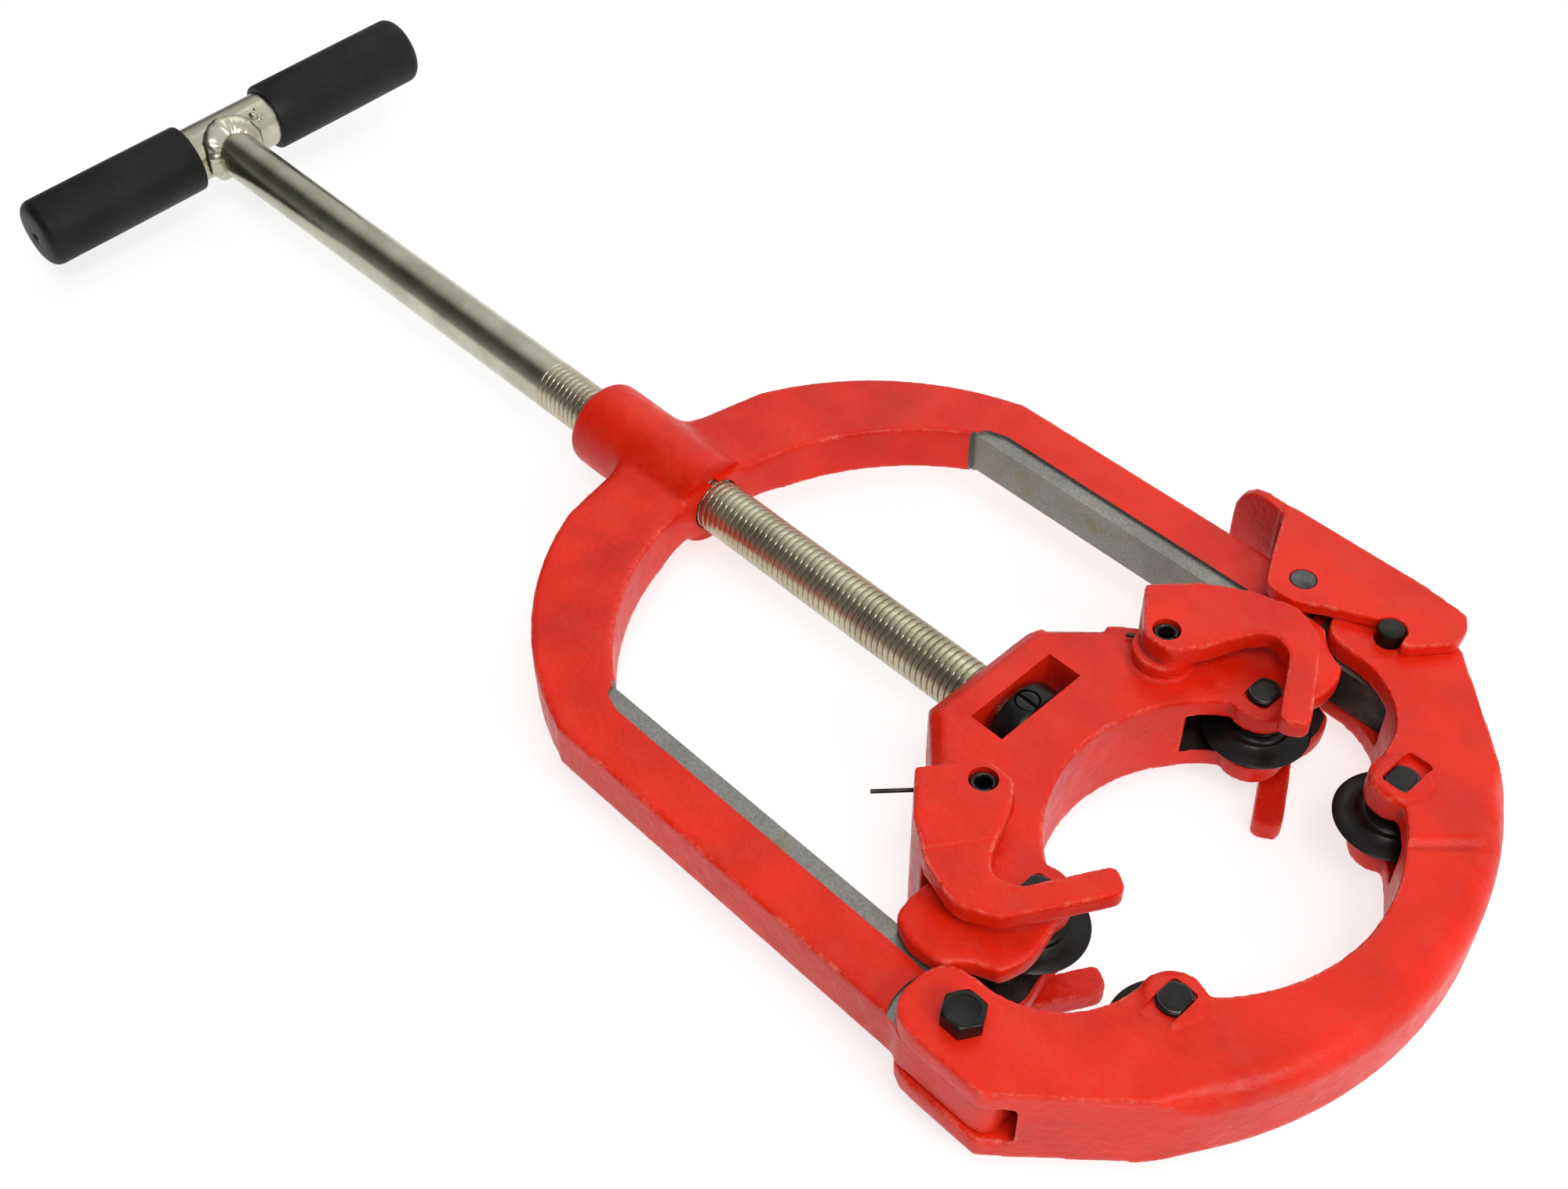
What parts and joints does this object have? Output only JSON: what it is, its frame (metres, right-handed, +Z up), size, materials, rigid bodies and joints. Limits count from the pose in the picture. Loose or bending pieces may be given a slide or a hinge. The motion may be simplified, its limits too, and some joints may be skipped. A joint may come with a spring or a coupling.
{
  "type": "hinged pipe cutter",
  "caption": "Hinged pipe cutter: a cast bow frame with a T-handled feed screw, a slide block with sprung pipe guides, a swing-open jaw, cutter wheels on pins and a hook latch.",
  "frame": {"origin": "centre of the bounding box's footprint, on the surface that the tool lies on", "axes": "+X along the feed screw from the T-handle towards the jaw, +Y towards the latch side, +Z up through the pipe opening"},
  "size_m": [0.8156, 0.312, 0.076],
  "materials": {
    "red_paint": "satin",
    "nickel": "satin",
    "rubber": "matte",
    "black_oxide": "satin",
    "pin_steel": "satin",
    "spring_steel": "satin"
  },
  "bodies": {
    "frame": {"main_frame": "red_paint", "latch_pivot_pin": "pin_steel", "hinge_bolt": "black_oxide", "hinge_washer": "black_oxide", "hinge_nut": "black_oxide"},
    "block": {"slide_block": "red_paint", "guide_pin_hinge_side": "black_oxide", "guide_pin_latch_side": "black_oxide", "cutter_pin_upper_hinge_side": "black_oxide", "cutter_pin_upper_latch_side": "black_oxide", "pin_clip_upper_hinge_side": "spring_steel", "pin_clip_upper_latch_side": "spring_steel"},
    "handle": {"feed_screw": "nickel", "tee_bar": "nickel", "tee_weld": "nickel", "grip_hinge_side": "rubber", "grip_latch_side": "rubber", "thrust_collar": "black_oxide", "collar_screw": "black_oxide"},
    "guide_hinge": {"guide_hinge_side": "red_paint", "guide_spring_hinge_side": "spring_steel"},
    "guide_latch": {"guide_latch_side": "red_paint", "guide_spring_latch_side": "spring_steel"},
    "jaw": {"lower_jaw": "red_paint", "latch_pin": "black_oxide", "cutter_pin_lower_hinge_side": "black_oxide", "cutter_pin_lower_latch_side": "black_oxide", "pin_clip_lower_hinge_side": "spring_steel", "pin_clip_lower_latch_side": "spring_steel"},
    "latch": {"latch": "red_paint"},
    "wheel_upper_hinge_side": {"cutter_wheel_upper_hinge_side": "black_oxide"},
    "wheel_upper_latch_side": {"cutter_wheel_upper_latch_side": "black_oxide"},
    "wheel_lower_hinge_side": {"cutter_wheel_lower_hinge_side": "black_oxide"},
    "wheel_lower_latch_side": {"cutter_wheel_lower_latch_side": "black_oxide"}
  },
  "joints": [
    {"name": "screw_turn", "type": "hinge", "parent": "block", "child": "handle", "pos_m": [0.19025, -0.00896, 0.038], "axis": [1, 0, 0], "range_deg": [-16560, 0]},
    {"name": "feed", "type": "slide", "parent": "frame", "child": "block", "axis": [1, 0, 0], "range_m": [-0.1495, 0]},
    {"name": "jaw_open", "type": "hinge", "parent": "frame", "child": "jaw", "pos_m": [0.30045, -0.13826, 0.038], "axis": [0, 0, -1], "range_deg": [0, 100]},
    {"name": "latch_lift", "type": "hinge", "parent": "frame", "child": "latch", "pos_m": [0.25825, 0.11804, 0.038], "axis": [0, 0, 1], "range_deg": [0, 15.1]},
    {"name": "guide_swing_hinge_side", "type": "hinge", "parent": "block", "child": "guide_hinge", "pos_m": [0.24125, -0.06396, 0.038], "axis": [0, 0, -1], "range_deg": [0, 15], "stiffness_Nm_per_rad": 1.9, "springref_deg": -14.32},
    {"name": "guide_swing_latch_side", "type": "hinge", "parent": "block", "child": "guide_latch", "pos_m": [0.24125, 0.04604, 0.038], "axis": [0, 0, 1], "range_deg": [0, 15], "stiffness_Nm_per_rad": 1.9, "springref_deg": -14.32},
    {"name": "wheel_turn_upper_hinge_side", "type": "hinge", "parent": "block", "child": "wheel_upper_hinge_side", "pos_m": [0.28225, -0.07846, 0.038], "axis": [0, 0, 1], "continuous": true},
    {"name": "wheel_turn_upper_latch_side", "type": "hinge", "parent": "block", "child": "wheel_upper_latch_side", "pos_m": [0.28225, 0.06054, 0.038], "axis": [0, 0, 1], "continuous": true},
    {"name": "wheel_turn_lower_hinge_side", "type": "hinge", "parent": "jaw", "child": "wheel_lower_hinge_side", "pos_m": [0.34695, -0.07886, 0.038], "axis": [0, 0, 1], "continuous": true},
    {"name": "wheel_turn_lower_latch_side", "type": "hinge", "parent": "jaw", "child": "wheel_lower_latch_side", "pos_m": [0.34695, 0.06094, 0.038], "axis": [0, 0, 1], "continuous": true}
  ],
  "couplings": [
    {"joint": "screw_turn", "follows": "feed", "rad_per_m": 1933.3},
    {"joint": "latch_lift", "follows": "jaw_open", "ratio": 0.15}
  ]
}
